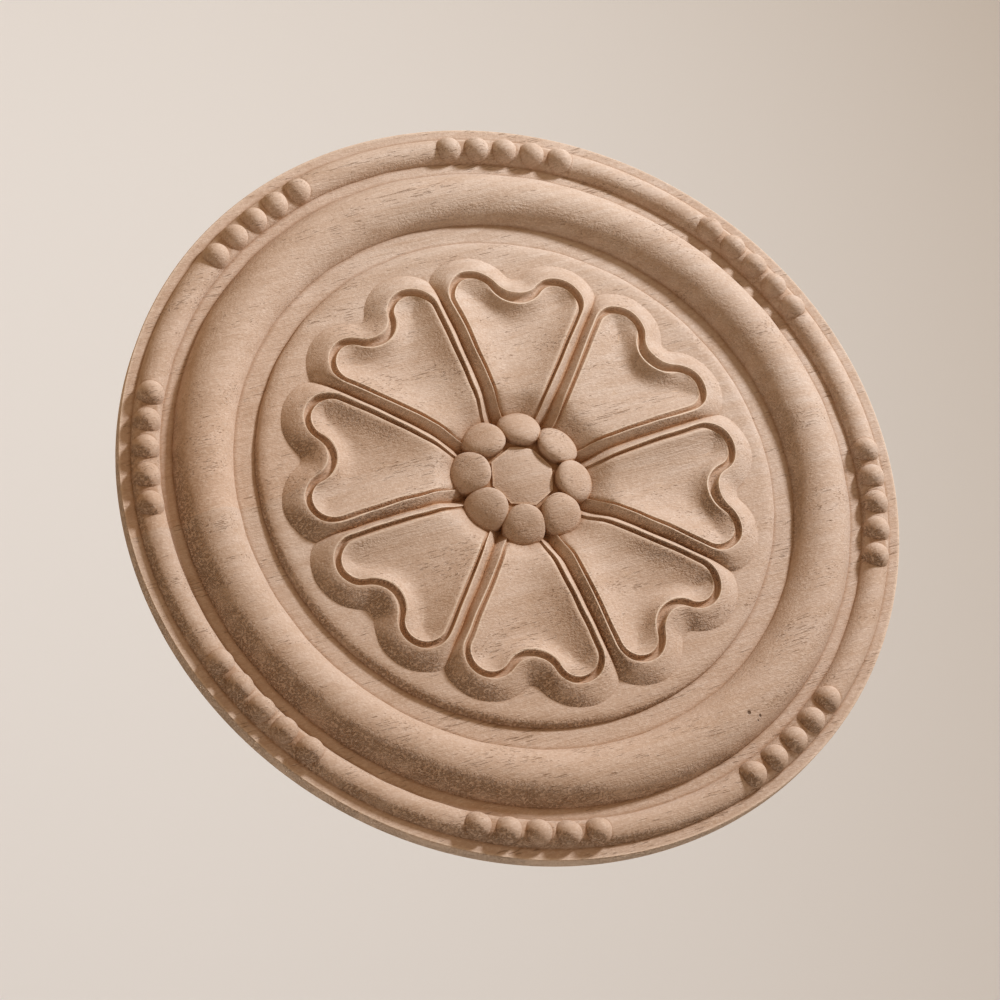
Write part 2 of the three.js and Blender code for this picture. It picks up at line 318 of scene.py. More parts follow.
# %% Write the knob helpers
def knob(length, width, profile, lean, around):
    """A profile of share of the half width and height, turned into an oval plan, leaning outwards."""
    points, faces = turned(profile, around)
    points = np.array(points)
    points[:, 0] *= length / 2
    points[:, 1] *= width / 2
    raised = points[:, 2] > profile[0][1]
    points[raised, 2] -= lean * points[raised, 0]
    return points, faces


def turned_by(points, angle):
    cosine, sine = math.cos(angle), math.sin(angle)
    x, y = points[:, 0].copy(), points[:, 1].copy()
    return np.stack([x * cosine - y * sine, x * sine + y * cosine, points[:, 2]], axis=1)


def together(parts):
    points, faces, start = [], [], 0
    for part_points, part_faces in parts:
        points.append(part_points)
        faces += [tuple(corner + start for corner in face) for face in part_faces]
        start += len(part_points)
    return np.concatenate(points), faces


operands = []


def operand(name, parts, shift=(0.0, 0.0)):
    points, faces = together(parts)
    points = points + (shift[0], shift[1], 0.0)
    operands.append(mesh_object(name, points * MM, faces))


print("a quarter turn takes (1, 0, 0) to", turned_by(np.array([[1.0, 0, 0]]), math.pi / 2)[0].round(3))

# %% [markdown]
# ## The pearls
#
# Forty pearls stand on the bead in eight groups of five. An Array modifier could repeat one along a
# circle, but not leave gaps between the groups, so their angles are worked out in a loop.
# Neighbours touch, and every second pearl goes into one mesh, which keeps each mesh free of crossings
# and safe to join.

# %% Carve the pearls
pearl_groups = 8
pearls_per_group = 5
pearl_pitch = 9.3
pearl_rise = 5.5
pearl_length = 9.8
pearl_overhang = -0.1
pearl_facets = 28
pearl_foot = ground / 2
bead_centre = (bead_outer + bead_inner) / 2
pearl_profile = [(0.0, pearl_foot), (1.0, pearl_foot)]
for turn in np.linspace(0, math.pi / 2, 10):
    pearl_profile.append((math.cos(turn), ground + pearl_rise * math.sin(turn)))
pearl_profile[-1] = (0.0, ground + pearl_rise)


def pearl(angle):
    points, faces = knob(bead_width + 2 * pearl_overhang, pearl_length, pearl_profile, 0, pearl_facets)
    points[:, 0] += bead_centre
    return turned_by(points, angle), faces


pearl_step = pearl_pitch / bead_centre
pearl_angles = []
for group in range(pearl_groups):
    for place in range(pearls_per_group):
        offset = (place - (pearls_per_group - 1) / 2) * pearl_step
        pearl_angles.append((place, group * 2 * math.pi / pearl_groups + offset))
operand("pearls_odd", [pearl(angle) for place, angle in pearl_angles if place % 2])
operand("pearls_even", [pearl(angle) for place, angle in pearl_angles if not place % 2])
print("pearls:", len(pearl_angles), "every", round(math.degrees(pearl_step), 2), "degrees")

# %% [markdown]
# ## A petal's outline
#
# A petal is a heart: two straight sides, two round lobes and a notch between them. A Bezier curve
# could trace it, but a carver strikes it with straight cuts and round gouges, so it is made of lines
# and arcs that meet without a corner. One function gives the outline at any distance from the
# true line, outwards or inwards, and each distance is a ring. Only half of it is worked out, and the
# other half mirrors it.

# %% Draw a petal's rings
petal_count = 8
outline_inset = 3.5
notch_depth = 9.2
petal_root = 14.0
root_blunt = 1.5
lip_turn = math.radians(55)
half_sector = math.pi / petal_count
notch_radius = petal_tip - notch_depth
lobe_centre_radius = petal_tip - lobe_radius
lobe_bearing = half_sector - math.asin((outline_inset + lobe_radius) / lobe_centre_radius)
lobe_x = lobe_centre_radius * math.cos(lobe_bearing)
lobe_y = lobe_centre_radius * math.sin(lobe_bearing)
side_normal = half_sector + math.pi / 2
side_steps, lobe_steps, notch_steps = 20, 20, 9


def notch_arc(notch_end, lobe):
    """The radius of the arc that touches both lobes and reaches in as far as the notch's end."""
    lead = lobe_x - notch_end
    return (lead * lead + lobe_y * lobe_y - lobe * lobe) / (2 * (lobe + lead))


def half_ring(side_offset, lobe_offset, notch_offset, root_offset):
    """Points x, y, how far the lip has opened into the lobe, and how near the petal's axis."""
    lobe = lobe_radius + lobe_offset
    notch_end = notch_radius + notch_offset
    notch = notch_arc(notch_end, lobe)
    notch_x = notch_end + notch
    contact = math.atan2(-lobe_y, notch_x - lobe_x)
    apex = (outline_inset - root_offset) / math.sin(half_sector)
    root_x = max(petal_root - root_offset, apex + root_blunt)
    root_y = root_x * math.tan(half_sector) - (outline_inset - root_offset) / math.cos(half_sector)
    end_x = lobe_x + (lobe_radius + side_offset) * math.cos(side_normal)
    end_y = lobe_y + (lobe_radius + side_offset) * math.sin(side_normal)
    points = []
    for share in np.arange(side_steps) / side_steps:
        points.append((mix(root_x, end_x, share), mix(root_y, end_y, share), 0.0, 0.0))
    for bearing in np.linspace(side_normal, contact, lobe_steps + 1):
        opened = float(smooth_step((side_normal - bearing) / lip_turn))
        reach = lobe_radius + mix(side_offset, lobe_offset, opened)
        points.append((lobe_x + reach * math.cos(bearing), lobe_y + reach * math.sin(bearing), opened, 0.0))
    for share in np.arange(1, notch_steps + 1) / notch_steps:
        bearing = mix(contact + math.pi, math.pi, share)
        points.append((notch_x + notch * math.cos(bearing), notch * math.sin(bearing), 1.0, share))
    return np.array(points)


def ring(side_offset, lobe_offset, notch_offset, root_offset):
    half = half_ring(side_offset, lobe_offset, notch_offset, root_offset)
    other = half[:-1][::-1] * (1, -1, 1, 1)
    return np.concatenate([half, other])


outline = ring(0, 0, 0, 0)
print("outline:", len(outline), "points,", round(float(np.ptp(outline[:, 1])), 1), "mm wide")

# %% [markdown]
# ## How a petal rises
#
# Seen from the side, a petal swells towards its lobes and drops into a hollow at its root, where the
# balls sit. All its rings share that movement, so it is one function of the distance from the
# middle. A lattice could bend a flat petal the same way, but the function needs no second object.

# %% Lift the petals
petal_rise = 5.6
notch_rise = 0.6
swell_rise = 1.7
swell_start = 25.0
root_drop = 4.8
root_drop_start = 18.0
root_drop_end = 30.0
crest_height = ground + petal_rise


def root_share(x):
    return 1 - smooth_step((x - root_drop_start) / (root_drop_end - root_drop_start))


def lift(x):
    swell = np.sin(math.pi * np.clip((x - swell_start) / (petal_tip - swell_start), 0, 1))
    return swell_rise * swell - root_drop * root_share(x)


def crest_top(points):
    return crest_height + notch_rise * points[:, 3] + lift(points[:, 0])


def with_height(points, height):
    return np.stack([points[:, 0], points[:, 1], height], axis=1)


print("crest height at the root, the middle and the tip:",
      (crest_height + lift(np.array([petal_root, 45.0, petal_tip]))).round(1), "mm")

# %% [markdown]
# ## The lip and the valley
#
# Outside the groove the wood is rounded off into a lip. It falls into a valley between two petals,
# and runs out onto the plateau round the lobes. A bevel would give it the same width everywhere, but
# the real lip opens as it turns into a lobe, so its width and its foot are mixed by how far it has
# opened.

# %% Round the lip
side_crest_offset = 1.05
crest_offset = 1.35
notch_crest_offset = 2.0
crest_width = 0.4
groove_root_share = 0.5
lip_width = 6.6
notch_lip_width = 7.7
lip_roundness = 1.35
valley_roundness = 1.1
valley_depth = 2.9
valley_root_share = 0.8
valley_overlap = 0.16
plateau_bite = 0.1
lip_steps = 10


def lip_ring(share):
    """A ring of the lip: the share runs from the crest, 0, to the foot, 1."""
    valley = outline_inset + valley_overlap
    points = ring(
        mix(side_crest_offset + crest_width, valley, share),
        crest_offset + mix(crest_width, lip_width, share),
        notch_crest_offset + mix(crest_width, notch_lip_width, share),
        mix((side_crest_offset + crest_width) * groove_root_share, valley, share))
    raised = lift(points[:, 0])
    roundness = mix(valley_roundness, lip_roundness, points[:, 2])
    depth = valley_depth * mix(1.0, valley_root_share, root_share(points[:, 0]))
    foot = mix(crest_height - depth + raised, plateau - plateau_bite, points[:, 2])
    return with_height(points, mix(crest_top(points), foot, share ** roundness))


def lip_rings():
    return [lip_ring(share) for share in np.linspace(1, 0, lip_steps + 1)]


print("lip:", len(lip_rings()), "rings, lowest point", round(float(lip_ring(1)[:, 2].min()), 1), "mm")

# %% [markdown]
# ## The groove
#
# The carver's V tool cuts a groove along the outline: a rounded wall comes down from the crest to
# the bottom, and a steeper one goes up again to the sharp inner edge. The groove is deeper round the
# lobes than along the sides. It could be cut out with a Boolean, but rings that share its line keep
# the facets even, and the shading clean.

# %% Cut the groove
groove_depth = 1.9
groove_side_depth = 1.5
groove_root_depth = 0.5
groove_side_shift = 0.3
inner_edge_drop = 0.6
inner_edge_offset = 1.1
inner_edge_side_offset = 0.85
outer_wall = ((0.22, 0.45), (0.45, 0.8), (0.72, 0.95))
inner_wall = ((0.45, 0.15), (0.8, 0.6))


def inner_edge(x):
    return crest_height - inner_edge_drop + lift(x)


def between(first, second, across, down):
    """A ring a share of the way across from one ring to another, with its own share of the height."""
    middle = mix(first, second, across)
    middle[:, 2] = mix(first[:, 2], second[:, 2], down)
    return middle


def groove_rings():
    crest_points = ring(side_crest_offset, crest_offset, notch_crest_offset,
                        side_crest_offset * groove_root_share)
    crest = with_height(crest_points, crest_top(crest_points))
    groove = ring(groove_side_shift, 0, 0, groove_side_shift * groove_root_share)
    side_depth = mix(groove_side_depth, groove_root_depth, root_share(groove[:, 0]))
    depth = mix(side_depth, groove_depth, groove[:, 2])
    bottom = with_height(groove, crest_height - depth + lift(groove[:, 0]))
    edge_points = ring(-inner_edge_side_offset, -inner_edge_offset, -inner_edge_offset,
                       -inner_edge_offset * groove_root_share)
    edge = with_height(edge_points, inner_edge(edge_points[:, 0]))
    down_wall = [between(crest, bottom, across, down) for across, down in outer_wall]
    up_wall = [between(bottom, edge, across, mix(across, down, groove[:, 2]))
               for across, down in inner_wall]
    return [crest, *down_wall, bottom, *up_wall, edge]


print("groove:", len(groove_rings()), "rings from the crest to the inner edge")

# %% [markdown]
# ## The dish
#
# Inside the sharp edge a petal is hollowed with a round gouge: quickly down from its sides, into a
# bowl near the lobes, and shallow towards the root. Its depth at a point follows from how far the
# point lies inside the sides, the lobes and the notch. Sculpting could do this too, but a formula
# gives eight equal petals and can be read.

# %% Hollow the dish
dish_side_depth = 1.3
dish_side_slope = 7.0
dish_bowl_depth = 2.2
dish_bowl_slope = 14.0
dish_bowl_rounding = 5.0
dish_notch_slope = 7.0
dish_root_share = 0.45
dish_deepens = 20.0
dish_deepest = 48.0
inner_edge_width = 0.4


def ease_out(value):
    """Steepest at the start, and level where the value reaches 1."""
    return 1 - (1 - np.clip(value, 0.0, 1.0)) ** 2


def inside_depths(x, y):
    """How far a point lies inside the sides and lobes, from the notch, and inside the rounded bowl."""
    side = np.abs(y)
    arc = notch_arc(notch_radius, lobe_radius)
    to_notch = np.hypot(x - notch_radius - arc, side) - arc
    to_side = x * math.sin(half_sector) - side * math.cos(half_sector) - outline_inset
    to_tip = petal_tip - np.hypot(x, side)
    bearing = np.arctan2(side - lobe_y, x - lobe_x)
    round_corner = (bearing < side_normal) & (bearing > lobe_bearing)
    to_lobe = lobe_radius - np.hypot(x - lobe_x, side - lobe_y)
    rounded_side = np.hypot(y, dish_bowl_rounding)
    to_middle = x * math.sin(half_sector) - rounded_side * math.cos(half_sector) - outline_inset
    to_outside = np.where(round_corner, to_lobe, np.minimum(to_side, to_tip))
    return to_outside, to_notch, np.minimum(to_middle, to_tip)


def dish(x, y):
    to_outside, to_notch, to_middle = inside_depths(x, y)
    start = inner_edge_offset + inner_edge_width
    side = dish_side_depth * ease_out((to_outside - start) / dish_side_slope)
    bowl = dish_bowl_depth * smooth_step((to_middle + dish_bowl_rounding / 2 - start) / dish_bowl_slope)
    notch = ease_out((to_notch - start) / dish_notch_slope)
    deepening = mix(dish_root_share, 1.0, smooth_step((x - dish_deepens) / (dish_deepest - dish_deepens)))
    return inner_edge(x) - (side + bowl) * notch * deepening


along_axis = np.array([25.0, 35.0, 45.0, 55.0])
dish_depths = inner_edge(along_axis) - dish(along_axis, 0.0)
print("dish below its edge along the axis:", dish_depths.round(2), "mm")

# %% [markdown]
# ## The whole petal
#
# The rings are joined like the hoops of a barrel: from the foot of the lip over its crest, down into
# the groove, up to the inner edge and down the dish, where the last rings draw together to one
# point. A wall and a bottom inside the blank close the petal, because a Boolean needs closed forms.

# %% Build the petals
dish_focus = 44.0
dish_band = 5.4
band_steps = 10
focus_steps = 8
buried = 1.0
flower_shift = (0.45, -0.5)


def dish_rings():
    """Rings that follow the outline at first, and then draw together to the focus."""
    rings = []
    for inside in np.linspace(0, dish_band, band_steps + 1) + inner_edge_offset + inner_edge_width:
        points = ring(-inside, -inside, -inside, -inside)
        rings.append(with_height(points, dish(points[:, 0], points[:, 1])))
    last = rings[-1]
    for share in np.linspace(0, 1, focus_steps + 1)[1:-1]:
        x = mix(last[:, 0], dish_focus, share)
        y = mix(last[:, 1], 0.0, share)
        rings.append(np.stack([x, y, dish(x, y)], axis=1))
    return rings


def petal():
    rings = lip_rings() + groove_rings() + dish_rings()
    count = len(rings[0])
    under = rings[0].copy()
    under[:, 2] = buried
    focus = [[dish_focus, 0, float(dish(dish_focus, 0.0))]]
    points = np.concatenate(rings + [under, focus, [[dish_focus, 0, buried]]])
    low = len(rings) * count
    middle = low + count
    inmost = (len(rings) - 1) * count
    faces = []
    for place in range(count):
        following = (place + 1) % count
        for layer in range(len(rings) - 1):
            outside = layer * count
            inside = outside + count
            faces.append((outside + place, outside + following, inside + following, inside + place)[::-1])
        faces.append((inmost + place, middle, inmost + following))
        faces.append((place, following, low + following, low + place))
        faces.append((low + place, low + following, middle + 1))
    return points, faces


petal_points, petal_faces = petal()
petal_turns = [2 * half_sector * place for place in range(petal_count)]
petals = [(turned_by(petal_points, turn), petal_faces) for turn in petal_turns]
operand("petals_even", petals[::2], flower_shift)
operand("petals_odd", petals[1::2], flower_shift)
print("petals:", petal_count, "with", len(petal_faces), "faces each")

# %% [markdown]
# ## The dome
#
# A low dome fills the ring of balls, and the balls bite into its edge, which leaves it eight-sided.
# A plain turned dome would show round gaps between the balls, so each of its points is pushed out
# to the side of an octagon.

# %% Add the dome
dome_apothem = 9.6
dome_rise = 4.6
dome_edge_rise = 3.2
dome_rows = 12
dome_profile = [(0.0, buried), (1.0, buried)] + [(share, ground) for share in np.linspace(1, 0, dome_rows)]
dome_points, dome_faces = turned(dome_profile, 12 * petal_count)
dome_points = np.array(dome_points)
bearing = np.arctan2(dome_points[:, 1], dome_points[:, 0])
reach = dome_apothem / np.cos((bearing + half_sector) % (2 * half_sector) - half_sector)
dome_points[:, :2] *= reach[:, None]
top = dome_points[:, 2] > buried
from_middle = np.hypot(dome_points[top, 0], dome_points[top, 1]) / dome_apothem
dome_points[top, 2] += mix(dome_rise, dome_edge_rise, from_middle ** 2)
operand("dome", [(dome_points, dome_faces)], flower_shift)
print("dome:", len(dome_faces), "faces, top at", round(ground + dome_rise, 1), "mm")

# %% [markdown]
# ## The balls
#
# Eight balls ring the dome, each between a petal's two sides. They are flatter than a sphere and
# fuller at the shoulder, as a knob is that was cut square first and rounded after, so the profile is
# a superellipse. They lean outwards a little, into the hollow at the petals' roots.

# %% Carve the balls
ball_ring = 17.0
ball_width = 14.0
ball_length = 13.2
ball_shoulder = 2.2
ball_top = 2.8
ball_fullness = 2.8
ball_tuck = 0.6
ball_lean = 0.4
ball_facets = 44
shoulder = ground + ball_shoulder
ball_profile = [(0.0, buried), (1.0, buried)]
for turn in np.linspace(0, math.pi / 2, 14):
    share = math.cos(turn)
    ball_profile.append((share, shoulder + ball_top * (1 - share ** ball_fullness) ** ball_tuck))
ball_profile[-1] = (0.0, shoulder + ball_top)


def ball(angle):
    points, faces = knob(ball_length, ball_width, ball_profile, ball_lean, ball_facets)
    points[:, 0] += ball_ring
    return turned_by(points, angle), faces


operand("balls_even", [ball(turn) for turn in petal_turns[::2]], flower_shift)
operand("balls_odd", [ball(turn) for turn in petal_turns[1::2]], flower_shift)
print("balls:", len(petal_turns), "with their top at", round(shoulder + ball_top, 1), "mm")
print("forms to join:", [made.name for made in operands])

# %% [markdown]
# ## One piece of wood
#
# The real rosette is one piece, with the grain running through every form. Loose forms pushed into
# each other would look alike from afar, but they would hide faces inside. The Boolean modifier joins
# them into one skin and leaves a crisp crease wherever two forms meet. Then the carving is stood up
# so that its front faces -Y.

# %% Join the carving
for piece in operands:
    joining = blank.modifiers.new("join", "BOOLEAN")
    joining.operation = "UNION"
    joining.solver = "MANIFOLD"
    joining.object = piece
    bpy.context.view_layer.objects.active = blank
    bpy.ops.object.modifier_apply(modifier=joining.name)
for piece in operands:
    bpy.data.objects.remove(piece)
carving = blank
carving.data.transform(Matrix.Rotation(math.pi / 2, 4, "X"))
carving.data.update()
carving.data.calc_loop_triangles()
print("carving:", len(carving.data.loop_triangles), "triangles")

# %% [markdown]
# ## The hand of the carver
#
# A gouge never follows its line exactly: ridges wander a little and no two balls are the same. The
# Displace modifier moves points along their normals, which would swell the ridges instead. So the
# whole front is moved by one smooth field of a few tenths of a millimetre, which can't fold the
# surface. The rim and the back stay true, and in depth the field only takes wood away. Blender's
# noise starts from the clock unless it gets a seed, so a seed is set to give the same piece each run.

# %% Loosen the lines
wander = 0.26 * MM
ball_wander = 0.45 * MM
wander_length = 8.0 * MM
wander_seed = 5
noise.seed_set(wander_seed)
rim_fade = 4 * MM
still_depth = 1.5 * MM
depth_fade = 2.5 * MM
middle_radius = 24 * MM
middle_fade = 8 * MM
sharp_bend = math.radians(32)
corners = np.zeros(len(carving.data.vertices) * 3)
carving.data.vertices.foreach_get("co", corners)
corners = corners.reshape(-1, 3)
radii = np.hypot(corners[:, 0], corners[:, 2])
inside_rim = smooth_step((bead_outer * MM - radii) / rim_fade)
off_back = smooth_step((-corners[:, 1] - still_depth) / depth_fade)
near_middle = 1 - smooth_step((radii - middle_radius) / middle_fade)
field = np.array([noise.noise_vector(Vector(corner) / wander_length) for corner in corners])
field[:, 1] = (1 + np.clip(field[:, 1], -1, 1)) / 2
corners += field * (inside_rim * off_back * mix(wander, ball_wander, near_middle))[:, None]
carving.data.vertices.foreach_set("co", corners.ravel())
carving.data.update()
carving.data.shade_smooth()
carving.data.set_sharp_from_angle(angle=sharp_bend)
print("box after loosening:", corners.min(0).round(4), corners.max(0).round(4))

# %% [markdown]
# ## Edges and creases
#
# Handling and sanding leave the sharp edges of raw wood paler, and dust gathers in its creases. Here
# the paler edges are also painted highlight, and the darker creases also painted shade. The
# Pointiness of Blender's Geometry node finds both, but its values change with how dense the mesh is.
# So the angle between the two faces of each mesh edge says which of the two it is, and the result
# is kept on the points as an attribute that the material can read.

# %% Find edges and creases
shape = bmesh.new()
shape.from_mesh(carving.data)
edge_values = np.zeros(len(shape.verts))
crease_values = np.zeros(len(shape.verts))
for line in shape.edges:
    if len(line.link_faces) == 2:
        bend = line.calc_face_angle_signed(0.0)
        for corner in line.verts:
            edge_values[corner.index] = max(edge_values[corner.index], bend)
            crease_values[corner.index] = max(crease_values[corner.index], -bend)


def keep_on_points(name, values):
    attribute = carving.data.attributes.new(name, "FLOAT", "POINT")
    attribute.data.foreach_set("value", values.astype(np.float32))


def sharpness(bends):
    """0 up to a slight bend and 1 from a full one, in degrees."""
    slight_bend, full_bend = 22, 60
    return smooth_step((bends - math.radians(slight_bend)) / math.radians(full_bend - slight_bend))


edge_share, crease_share = sharpness(edge_values), sharpness(crease_values)
keep_on_points("worn_and_lit_edge", edge_share)
keep_on_points("dusty_and_shaded_crease", crease_share)
pale_edge_count, crease_count = int((edge_share > 0.5).sum()), int((crease_share > 0.5).sum())
print("points on worn edges:", pale_edge_count, "in creases:", crease_count)

# %% [markdown]
# ## Sheltered places
#
# Light that reaches the bottom of a groove has bounced off warm wood on the way, and dust stays
# there, so deep places look browner. The material paints them darker and browner: painted shade and
# painted bounce light, with some dust. An ambient occlusion node could find them, but it does so anew
# in each render, and with grain. Here some rays are sent out from each point over a few millimetres,
# and the share that meets wood again says how sheltered the point is.

# %% Measure the shelter
shelter_reach = 5.0 * MM
ray_start = 0.1 * MM
ray_count = 14
faces_front = -0.05
skin = BVHTree.FromBMesh(shape)
golden_turn = math.pi * (3 - math.sqrt(5))
rays = []
for number in range(ray_count):
    spread = math.sqrt((number + 0.5) / ray_count)
    rays.append((spread * math.cos(number * golden_turn), spread * math.sin(number * golden_turn),
                 math.sqrt(1 - spread * spread)))
sheltered = np.zeros(len(shape.verts))
for point in shape.verts:
    if point.normal.y > faces_front:
        continue
    turn_to_normal = point.normal.to_track_quat("Z", "Y").to_matrix()
    start = point.co + point.normal * ray_start
    met = 0.0
    for ray in rays:
        distance = skin.ray_cast(start, turn_to_normal @ Vector(ray), shelter_reach)[3]
        if distance is not None:
            met += 1 - distance / shelter_reach
    sheltered[point.index] = met / ray_count
shape.free()
keep_on_points("sheltered", sheltered)
print("shelter: at most", round(float(sheltered.max()), 2), "on average", round(float(sheltered.mean()), 3))

# %% [markdown]
# ## Helpers for the wood
#
# The wood is raw, pale and sanded, without oil. A photograph of wood could be wrapped round it, but
# a wrapped picture stretches over the carving, while real fibres run through the whole blank. So the
# pattern is made in space from noise, and the carving cuts through it. A few helpers add a shader
# node with its inputs, stretch noise along the fibres, and ramp, blend and add values.

# %% Write the node helpers
wood = bpy.data.materials.new("raw_wood")
wood.use_nodes = True
tree = wood.node_tree
shader = tree.nodes["Principled BSDF"]


def add(kind, inputs=None, **settings):
    made = tree.nodes.new(kind)
    for name, value in settings.items():
        setattr(made, name, value)
    for socket, value in (inputs or {}).items():
        if isinstance(value, bpy.types.NodeSocket):
            tree.links.new(value, made.inputs[socket])
        else:
            made.inputs[socket].default_value = value
    return made


def ramp(value, low, high, start=0.0, end=1.0):
    """Goes smoothly from start to end while the value goes from low to high."""
    made = add("ShaderNodeMapRange", {"Value": value, "From Min": low, "From Max": high,
                                      "To Min": start, "To Max": end}, interpolation_type="SMOOTHSTEP")
    return made.outputs[0]


def blend(share, first, second, kind="MIX"):
    factor_socket, first_socket, second_socket, result_socket = 0, 6, 7, 2
    made = add("ShaderNodeMix", data_type="RGBA", blend_type=kind)
    for socket, value in ((factor_socket, share), (first_socket, first), (second_socket, second)):
        if isinstance(value, bpy.types.NodeSocket):
            tree.links.new(value, made.inputs[socket])
        else:
            made.inputs[socket].default_value = value
    return made.outputs[result_socket]


def maths(kind, first, second):
    return add("ShaderNodeMath", {0: first, 1: second}, operation=kind).outputs[0]


def times(first, second):
    return maths("MULTIPLY", first, second)


def leaning(normal, direction):
    """How far a surface leans towards a direction: 1 when it faces that way."""
    made = add("ShaderNodeVectorMath", {0: normal, 1: direction}, operation="DOT_PRODUCT")
    return made.outputs["Value"]


print("material", wood.name, "starts with", len(tree.nodes), "nodes")

# %% [markdown]
# ## Grain and pores
#
# The fibres run at twenty degrees across the disc. Each pattern is noise in long, narrow cells along
# them: broad stripes of the board, the figure of the growth rings, soft clouds, fine fibres and a
# speckle. Pores are the short dark dashes of a hardwood, and they gather in zones. One noise could
# not do all this, because each has its own length and width, here in millimetres.

# %% Grow the grain
grain_angle = math.radians(20)
millimetres = (1 / MM, 1 / MM, 1 / MM)
place = add("ShaderNodeTexCoord").outputs["Object"]
along = add("ShaderNodeMapping", {"Vector": place, "Rotation": (0, grain_angle, 0), "Scale": millimetres})


def pattern(length, width, detail, roughness=0.5, offset=(0, 0, 0)):
    """Noise in cells of this length along the fibres and this width across them, in millimetres."""
    stretched = add("ShaderNodeMapping", {"Vector": along.outputs[0], "Location": offset,
                                          "Scale": (1 / length, 1 / width, 1 / width)})
    texture = add("ShaderNodeTexNoise", {"Vector": stretched.outputs[0], "Scale": 1.0,
                                         "Detail": detail, "Roughness": roughness})
    return texture.outputs["Fac"]


board = pattern(length=190, width=34, detail=2)
figure = pattern(length=60, width=3.6, detail=4, roughness=0.6, offset=(3, 7, 1))
cloud = pattern(length=17, width=8, detail=3, roughness=0.55, offset=(6, 2, 5))
fibre = pattern(length=9, width=0.42, detail=3, roughness=0.65, offset=(8, 3, 2))
speckle = pattern(length=1.2, width=0.7, detail=3, roughness=0.7)
pore_zone = ramp(pattern(length=46, width=8, detail=2, offset=(9, 1, 4)), low=0.46, high=0.66)
pore_noise = pattern(length=5.0, width=0.36, detail=2, roughness=0.45, offset=(5, 2, 8))
zone_pull = 0.12
pores = ramp(maths("ADD", pore_noise, times(pore_zone, zone_pull)), low=0.71, high=0.79)
print("grain at", round(math.degrees(grain_angle)), "degrees,", len(tree.nodes), "nodes so far")

# %% [markdown]
# ## Rough slopes in painted shade
#
# Where a slope meets the fibres end on and against the cutter, they tear instead of being cut, and
# the slope stays rough, with dark specks. Here the specks and their brown go on the slopes that face
# down and to the left, away from the lamp, mostly in the lower half and away from the middle, so they
# are tear-out and painted shade together. Painting them on by hand would do, but the direction of the
# surface already says where they are.

# %% Roughen and shade the slopes facing down and left
normal = add("ShaderNodeNewGeometry").outputs["Normal"]
coordinates = add("ShaderNodeSeparateXYZ", {"Vector": place})
side, depth, up = coordinates.outputs["X"], coordinates.outputs["Y"], coordinates.outputs["Z"]
from_middle = add("ShaderNodeVectorMath", {0: place}, operation="LENGTH").outputs["Value"]
front = ramp(depth, low=-0.002, high=-0.004)

grain_direction = (math.cos(grain_angle), 0.0, math.sin(grain_angle))
end_on = ramp(maths("ABSOLUTE", leaning(normal, grain_direction), 0.0), low=0.10, high=0.70)
down_and_left = (-0.5, 0.0, -0.87)
away_from_middle = ramp(from_middle, low=0.034, high=0.046, start=0.25)
lower_half = ramp(up, low=0.055, high=-0.02, start=0.25)
# slopes facing down and left, away from the lamp, where the specks add painted shade
shaded_down_left_slopes = times(ramp(leaning(normal, down_and_left), low=0.22, high=0.52), away_from_middle)
shaded_down_left_slopes = times(shaded_down_left_slopes, lower_half)
patches = pattern(length=24, width=10, detail=3, roughness=0.6, offset=(2, 5, 9))
torn_and_shaded_zone = times(ramp(patches, low=0.34, high=0.54), shaded_down_left_slopes)
specks = pattern(length=0.95, width=0.65, detail=2, roughness=0.6, offset=(1, 4, 2))
rough = ramp(specks, low=0.43, high=0.64)
torn_specks_and_shade = times(rough, torn_and_shaded_zone)
print("rough slopes lean towards", down_and_left, "-", len(tree.nodes), "nodes so far")

# %% [markdown]
# ## Colour of the board, with painted light and shade
#
# The colour differs from place to place: paler towards the top, pale below a glue line, as if the
# blank was glued from boards, and more red at the upper left, where the blend also lightens the left
# side as painted light. The right side is made a little darker as painted shade. One colour would
# look like plastic. These broad colours are blended first, by place, and everything finer comes over
# them.

# %% Colour the board
darker_wood = (0.575, 0.42, 0.315, 1)
paler_wood = (0.665, 0.55, 0.46, 1)
redder_and_lit_left_wood = (0.73, 0.49, 0.34, 1)
painted_shade_right_wood = (0.40, 0.30, 0.24, 1)
lower_board_wood = (0.72, 0.62, 0.54, 1)
stripe_weight = 0.9
lower_board_weight = 0.22
glue_line_low, glue_line_high = 13.3, 13.8
across_grain = add("ShaderNodeSeparateXYZ", {"Vector": along.outputs[0]}).outputs["Z"]
paler = maths("ADD", ramp(up, low=-0.12, high=0.12), times(board, stripe_weight))
colour = blend(ramp(paler, low=0.35, high=1.45), darker_wood, paler_wood)
upper_board = ramp(across_grain, glue_line_low, glue_line_high)
# more red at the upper left, and lighter there as painted light
red_and_lit_left = times(ramp(side, low=-0.03, high=-0.09, end=0.24), upper_board)
colour = blend(red_and_lit_left, colour, redder_and_lit_left_wood)
# painted shade: the right side is blended darker
colour = blend(ramp(side, low=0.01, high=0.08, end=0.3), colour, painted_shade_right_wood)
lower_board = ramp(across_grain, glue_line_low, glue_line_high, start=1.0, end=0.0)
colour = blend(times(lower_board, lower_board_weight), colour, lower_board_wood)
print("glue line", glue_line_low, "mm above the middle, across the grain")

# %% [markdown]
# ## Colour of the grain
#
# Over the board come the darker figure, clouds and fibres, the pale speckle and the dark pores, each
# with its own strength. A strong colour with a small share is easier to judge than a weak one with a
# large share, because the share alone can then be turned up or down. The middle is darker, in painted
# shade round the balls and the dome and in grime from handling, and the rough slopes facing down and
# left are speckled brown, in tear-out and painted shade.

